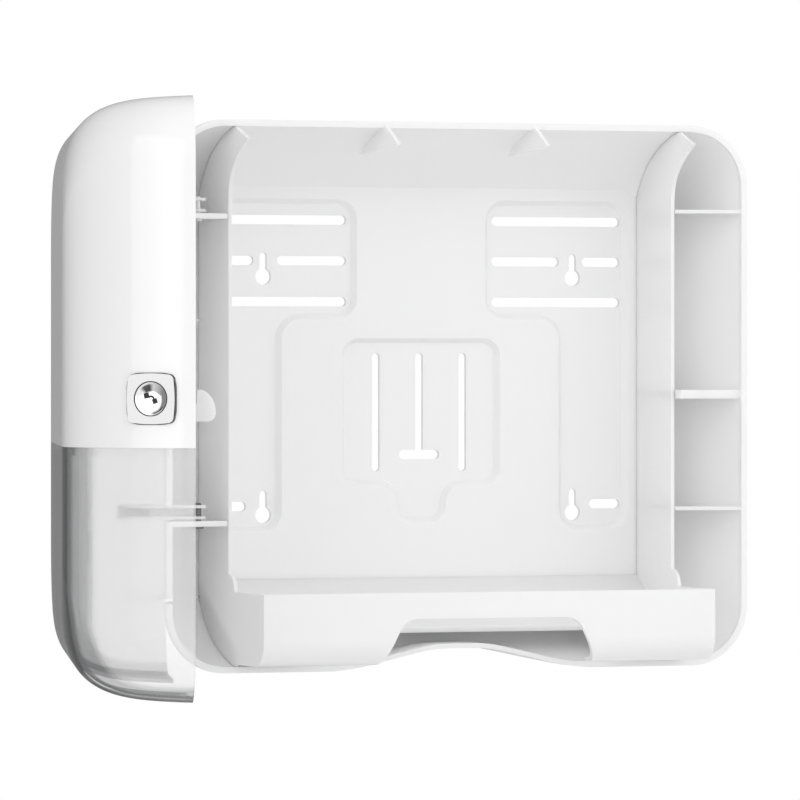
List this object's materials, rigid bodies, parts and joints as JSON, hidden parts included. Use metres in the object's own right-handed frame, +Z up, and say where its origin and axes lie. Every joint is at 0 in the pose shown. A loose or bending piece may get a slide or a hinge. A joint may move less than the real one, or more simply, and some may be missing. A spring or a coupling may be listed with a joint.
{
  "type": "folded towel dispenser",
  "caption": "Wall-mounted folded paper towel dispenser with an open hinged cover, a smoke-clear lower window, a key lock with latch hook and a lipped towel tray.",
  "frame": {"origin": "centre of the four wall keyholes on the plane of the wall", "axes": "+Z up, +X to the user's right, +Y into the wall, so the user stands on the -Y side"},
  "size_m": [0.4479, 0.3357, 0.2916],
  "materials": {
    "white_plastic": "satin white moulded plastic",
    "white_gloss": "glossy white moulded plastic",
    "smoke_clear": "glossy smoke-clear moulded plastic",
    "steel": "plain bright steel",
    "lock_chrome": "polished chrome"
  },
  "bodies": {
    "base": {"rear_housing": "white_plastic", "towel_cradle": "white_plastic", "hinge_pin_upper": "steel", "hinge_pin_lower": "steel"},
    "cover": {"cover_shell": "white_gloss", "cover_window": "smoke_clear", "hinge_arm_upper": "white_plastic", "hinge_arm_lower": "white_plastic", "lock_body": "lock_chrome", "lock_nut": "steel", "latch_bracket": "steel", "latch_pivot_pin": "steel"},
    "lock": {"lock_plug": "lock_chrome", "lock_cam": "steel", "cam_screw": "steel"},
    "latch": {"latch_hook": "white_plastic"}
  },
  "joints": [
    {"name": "cover_swing", "type": "hinge", "parent": "base", "child": "cover", "pos_m": [-0.1403, -0.0462, 0], "axis": [0, 0, 1], "range_deg": [0, 106.4]},
    {"name": "lock_turn", "type": "hinge", "parent": "cover", "child": "lock", "pos_m": [-0.26062, -0.32572, 0.0003], "axis": [0.6256, 0.7801, 0], "range_deg": [0, 90]},
    {"name": "latch_dip", "type": "hinge", "parent": "cover", "child": "latch", "pos_m": [-0.24789, -0.3062, -0.004], "axis": [0.2823, 0.9593, 0], "range_deg": [0, 22]}
  ],
  "couplings": [
    {"joint": "latch_dip", "follows": "lock_turn", "ratio": 0.24444}
  ]
}
